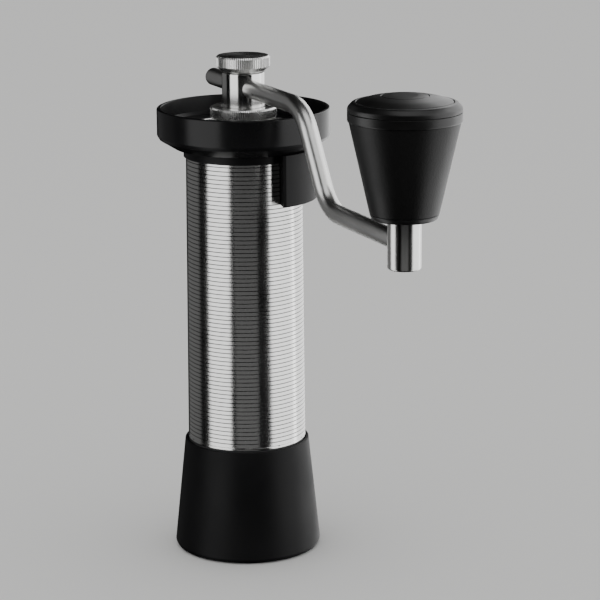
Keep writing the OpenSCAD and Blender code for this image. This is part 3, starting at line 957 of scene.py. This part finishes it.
class GRINDER_OT_dial(bpy.types.Operator):
    """Builds the knurled grind dial and the knurled thumb screw"""

    bl_idname = "grinder.dial"
    bl_label = "Dial and thumb screw"

    def execute(self, context):
        settings = context.scene.grinder_knurls
        tree = flute_tree("knurled_steel")
        self.make_dial(tree, settings)
        self.make_screw(tree, settings)
        dress("inner_steel", "thumb_screw_washer")
        return {"FINISHED"}

    def make_dial(self, tree, settings):
        foot, top = (corner.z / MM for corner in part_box("grind_dial"))
        rim = radius_of("grind_dial") / MM
        under = top - 5
        dial = lathe("grind_dial_turned", [
            (4.02, foot), (6.6, foot, 0.2), (6.6, under, 0.3), (rim - 0.7, under, 0.2),
            (rim - 0.35, under + 0.35), (rim, under + 0.8, 0.2), (rim, top - 0.7, 0.1),
            (rim - 0.6, top, 0.1), (9.8, top, 0.15), (9.8, top - 3.8), (4.02, top - 3.8),
        ], closed=True, segments=settings.dial_flutes * 6, steps=3)
        tree.run(dial, {"Flutes": settings.dial_flutes, "Rim radius": rim * MM, "Depth": settings.depth})
        smooth(dial, 24)
        fit(dial, "knurled_steel", "dial", "dial_steel", "grind_dial")

    def make_screw(self, tree, settings):
        tip, top = (corner.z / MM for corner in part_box("thumb_screw"))
        rim = radius_of("thumb_screw") / MM
        seat = top - 7.05
        screw = lathe("thumb_screw_turned", [
            (0, tip), (2.98, tip, 0.3), (2.98, seat), (9.3, seat, 0.2), (rim - 0.35, top - 4.95, 0.1),
            (rim, top - 4.6, 0.1), (rim, top - 0.75, 0.1), (rim - 0.7, top, 0.1), (0, top),
        ], segments=settings.screw_flutes * 6, steps=3)
        tree.run(screw, {"Flutes": settings.screw_flutes, "Rim radius": rim * MM, "Depth": settings.depth})
        smooth(screw, 24)
        fit(screw, "knurled_steel", "screw", "screw_steel", "thumb_screw")


class GRINDER_OT_hub(bpy.types.Operator):
    """Builds the polished crank hub, drilled for the bar, and its grub screw"""

    bl_idname = "grinder.hub"
    bl_label = "Crank hub"

    def execute(self, context):
        foot, top = (corner.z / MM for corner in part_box("crank_hub"))
        radius = radius_of("crank_hub") / MM
        bar_z = BAR_HIGH.z - BAR_RADIUS
        grub_z = (low_z("hub_grub_screw") + high_z("hub_grub_screw")) / 2
        hub = lathe("crank_hub_turned", [(0, foot), (radius, foot, 0.3), (radius, top, 0.35), (0, top)])
        drill(hub, BAR_RADIUS + 0.02 * MM, (-0.02, 0, bar_z), (0.02, 0, bar_z), segments=96)
        drill(hub, 3 * MM, (0, 0, bar_z), (0, 0, 0.24))
        drill(hub, 3.926 * MM, (0, 0, foot * MM - 0.001), (0, 0, foot * MM + 5.4 * MM), segments=6)
        drill(hub, 1.5 * MM, (0, 0.003, grub_z), (0, 0.013, grub_z), segments=48)
        fit(hub, "polished_steel", "axle_set", "hub_steel", "crank_hub")
        dress("dark_steel", "hub_grub_screw")
        return {"FINISHED"}


class GRINDER_OT_crank(bpy.types.Operator):
    """Bends the crank bar and turns the post at its end"""

    bl_idname = "grinder.crank"
    bl_label = "Crank bar and post"

    def execute(self, context):
        settings = context.scene.grinder_crank
        high = BAR_HIGH.z - BAR_RADIUS
        low = BAR_LOW.z + BAR_RADIUS
        run = (high - low) / tan(settings.slant)
        path = [
            (BAR_LOW.x, 0, high), (settings.bend_x, 0, high), (settings.bend_x + run, 0, low),
            (BAR_HIGH.x, 0, low),
        ]
        bar = point_object("crank_bar_bent", path, [(0, 1), (1, 2), (2, 3)])
        bar_tree("bar_steel").run(bar, {"Radius": BAR_RADIUS, "Bend radius": settings.bend_radius})
        recalculated(bar)
        smooth(bar, 50)
        cut = bar.modifiers.new("Tip round", "BEVEL")
        cut.width = settings.tip_round
        cut.segments = 4
        cut.angle_limit = radians(60)
        bake(bar)
        smooth(bar, 50)
        fit(bar, "bar_steel", "crank", "bar_steel", "crank_bar")
        self.make_post(low)
        dress("inner_steel", "knob_washer", "knob_screw")
        return {"FINISHED"}

    def make_post(self, bar_z):
        foot, top = POST_LOW.z / MM, POST_HIGH.z / MM
        shoulder = low_z("knob_core") / MM - 0.3
        radius = (POST_HIGH.y - POST_LOW.y) / 2 / MM
        post = lathe("knob_post_turned", [
            (0, foot), (radius, foot, 0.9), (radius, shoulder, 0.35), (3, shoulder), (3, top, 0.2), (0, top),
        ], centre_x=CRANK_REACH)
        drill(
            post, BAR_RADIUS + 0.01 * MM,
            (CRANK_REACH - 0.02, 0, bar_z), (BAR_HIGH.x, 0, bar_z), segments=96)
        drill(post, 1.5 * MM, (CRANK_REACH, 0, 0.212), (CRANK_REACH, 0, 0.232))
        fit(post, "post_steel", "crank", "hub_steel", "knob_post")


class GRINDER_OT_knob(bpy.types.Operator):
    """Turns the knob's core, its grained sleeve and its cap"""

    bl_idname = "grinder.knob"
    bl_label = "Knob"

    def execute(self, context):
        foot = low_z("knob_core") / MM
        seam = high_z("knob_core") / MM
        radius = (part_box("knob_core")[1].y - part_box("knob_core")[0].y) / 2 / MM
        grip_foot, band = (corner.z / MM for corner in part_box("knob_grip"))
        grip_top = (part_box("knob_grip")[1].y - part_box("knob_grip")[0].y) / 2 / MM
        nose = 13.7
        wall = 1.4
        core = lathe("knob_core_turned", [
            (5, foot), (nose - 0.8, foot, 0.9), (nose, grip_foot - 0.1, 0.3), (nose - wall, grip_foot - 0.05),
            (grip_top - wall, band + 0.05), (radius - 0.15, band + 0.05, 0.1), (radius, band + 0.5, 0.3),
            (radius, seam - 0.05, 0.25), (14, seam - 0.05), (14, 222), (8, 222), (8, 221), (5, 221),
        ], CRANK_REACH, closed=True)
        fit(core, "knob_satin", "knob", "knob_black", "knob_core")
        grip = lathe("knob_grip_turned", [
            (nose - wall + 0.02, grip_foot), (nose, grip_foot, 0.2), (grip_top, band, 0.2),
            (grip_top - wall + 0.02, band),
        ], CRANK_REACH, closed=True)
        fit(grip, "knob_grain", "knob", "knob_black", "knob_grip")
        self.make_cap(seam, radius)
        dress("brass", "knob_lower_bush", "knob_upper_bush")
        return {"FINISHED"}

    def make_cap(self, seam, radius):
        top = high_z("knob_cap") / MM
        cap = lathe("knob_cap_turned", [
            (0, seam + 0.1), (12, seam + 0.1), (12, seam - 2.7), (13.9, seam - 2.7), (13.9, seam + 0.05),
            (radius, seam + 0.05, 0.3), (radius, seam + 1.6, 2), (radius - 1.8, seam + 3.6, 1.5),
            (19.2, seam + 3.85, 0.15), (18.95, seam + 3.5), (18.65, seam + 3.95, 0.15), (14.5, top - 1.2, 20),
            (9.5, top - 0.35, 0.1), (9.25, top - 0.65), (9, top - 0.3, 0.1), (5, top - 0.06, 6), (0, top),
        ], CRANK_REACH)
        fit(cap, "knob_satin", "knob", "knob_cap_black", "knob_cap")


class GRINDER_OT_cup(bpy.types.Operator):
    """Turns the catch cup and drills it for its magnets"""

    bl_idname = "grinder.cup"
    bl_label = "Catch cup"

    def execute(self, context):
        foot, top = (corner.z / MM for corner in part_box("catch_cup"))
        wide = radius_of("catch_cup") / MM
        rim = 28.3
        ledge = high_z("cup_magnets") / MM + 0.01
        cup = lathe("catch_cup_turned", [
            (0, foot), (wide - 0.8, foot, 0.6), (wide + 0.01, 2.2, 1.2), (rim, top, 0.4),
            (rim - 1.4, top, 0.3), (rim - 1.4, ledge), (21.8, ledge, 0.4), (21.8, ledge - 5, 1),
            (rim - 1, 33, 4), (wide - 2.6, 6, 3),
            (wide - 4.6, 3.5, 1), (0, 3.5),
        ], segments=200)
        for k in range(4):
            turn = radians(45 + 90 * k)
            x, y = 24.2 * MM * cos(turn), 24.2 * MM * sin(turn)
            drill(cup, 2 * MM, (x, y, low_z("cup_magnets")), (x, y, ledge * MM + 0.002), segments=48)
        fit(cup, "cup_paint", "cup", "cup_black", "catch_cup")
        dress("magnet_nickel", "cup_magnets", "ring_magnets")
        dress("rubber", "cup_foot")
        dress("moulded_plastic", "magnet_ring")
        return {"FINISHED"}


class GRINDER_OT_bearings(bpy.types.Operator):
    """Softens the two bridges, sets out the bearing balls and finishes the races, cages and seals"""

    bl_idname = "grinder.bearings"
    bl_label = "Bridges and bearings"

    def execute(self, context):
        tree = ball_tree("ball_steel")
        for side in ("upper", "lower"):
            bridge = cad_copy(f"{side}_bridge_casting", f"{side}_bridge", bevel=0.3 * MM)
            fit(bridge, "machined_aluminium", "housing", "bridge_metal", f"{side}_bridge")
            middle = (low_z(f"{side}_bearing_balls") + high_z(f"{side}_bearing_balls")) / 2
            points = [
                (7.6 * MM * cos(2 * pi * k / 7), 7.6 * MM * sin(2 * pi * k / 7), middle) for k in range(7)
            ]
            balls = point_object(f"{side}_balls_set", points)
            tree.run(balls, {"Ball radius": 1.95 * MM})
            fit(balls, "ball_steel", f"{side}_balls", "ball_steel", f"{side}_bearing_balls")
            dress("race_steel", f"{side}_outer_race", f"{side}_inner_race")
            dress("brass", f"{side}_ball_cage")
            dress("rubber", f"{side}_bearing_seals")
        return {"FINISHED"}


class GRINDER_OT_burrs(bpy.types.Operator):
    """Finishes the burrs, the axle, its spring, nut and washers"""

    bl_idname = "grinder.burrs"
    bl_label = "Burrs and axle"

    def execute(self, context):
        dress("burr_steel", "ring_burr", "cone_burr")
        dress("inner_steel", "burr_lock_ring", "axle", "burr_spring", "burr_washer", "burr_nut")
        dress("inner_steel", "spring_seat_washer")
        dress("brass", "dial_washer")
        return {"FINISHED"}


OPERATORS = (
    GRINDER_OT_stage, GRINDER_OT_barrel, GRINDER_OT_hopper, GRINDER_OT_dial, GRINDER_OT_hub,
    GRINDER_OT_crank, GRINDER_OT_knob, GRINDER_OT_cup, GRINDER_OT_bearings, GRINDER_OT_burrs,
)


class GRINDER_PT_pieces(bpy.types.Panel):
    """Lists the pieces of the grinder"""

    bl_idname = "GRINDER_PT_pieces"
    bl_label = "Hand Coffee Grinder"
    bl_space_type = "VIEW_3D"
    bl_region_type = "UI"
    bl_category = "Grinder"

    def draw(self, context):
        for operator in OPERATORS:
            self.layout.operator(operator.bl_idname)
        for key in SETTINGS:
            group = getattr(context.scene, key)
            box = self.layout.box()
            for name in group.bl_rna.properties.keys():
                if name not in ("rna_type", "name"):
                    box.prop(group, name)


def register():
    for group in SETTINGS.values():
        bpy.utils.register_class(group)
    for key, group in SETTINGS.items():
        setattr(bpy.types.Scene, key, PointerProperty(type=group))
    for operator in OPERATORS:
        bpy.utils.register_class(operator)
    bpy.utils.register_class(GRINDER_PT_pieces)


def unregister():
    bpy.utils.unregister_class(GRINDER_PT_pieces)
    for operator in reversed(OPERATORS):
        bpy.utils.unregister_class(operator)
    for key in SETTINGS:
        delattr(bpy.types.Scene, key)
    for group in SETTINGS.values():
        bpy.utils.unregister_class(group)


def main():
    register()
    for operator in OPERATORS:
        module, name = operator.bl_idname.split(".")
        getattr(getattr(bpy.ops, module), name)()


if __name__ == "__main__":
    main()
